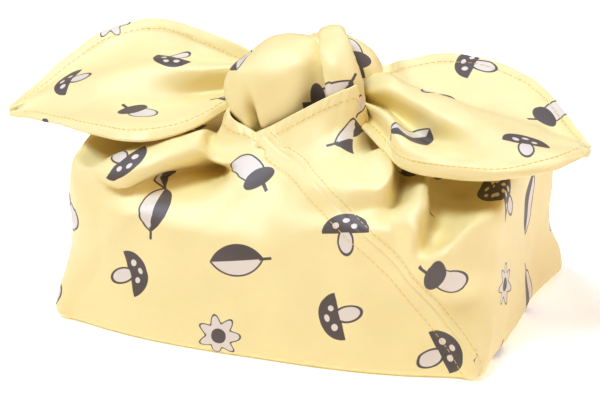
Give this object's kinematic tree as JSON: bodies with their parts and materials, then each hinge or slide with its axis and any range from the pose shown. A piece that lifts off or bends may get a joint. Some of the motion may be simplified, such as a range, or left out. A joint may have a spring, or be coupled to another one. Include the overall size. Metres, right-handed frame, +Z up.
{
  "type": "furoshiki bag",
  "caption": "Sewn cloth lunch-wrap bag, tied on top in a square knot with two pointed ends, standing packed on its flat base.",
  "frame": {"origin": "middle of the flat base, on the surface that the bag stands on", "axes": "+Z up, +X along the bag towards its right pointed end, -Y towards the front with its V-shaped mouth edge"},
  "size_m": [0.2669, 0.152, 0.1253],
  "materials": {
    "cloth": "smooth plain-weave cotton, pale yellow, with a tossed grey and off-white print and matching yellow stitching"
  },
  "bodies": {
    "root": {"furoshiki_cloth": "cloth"}
  },
  "joints": []
}
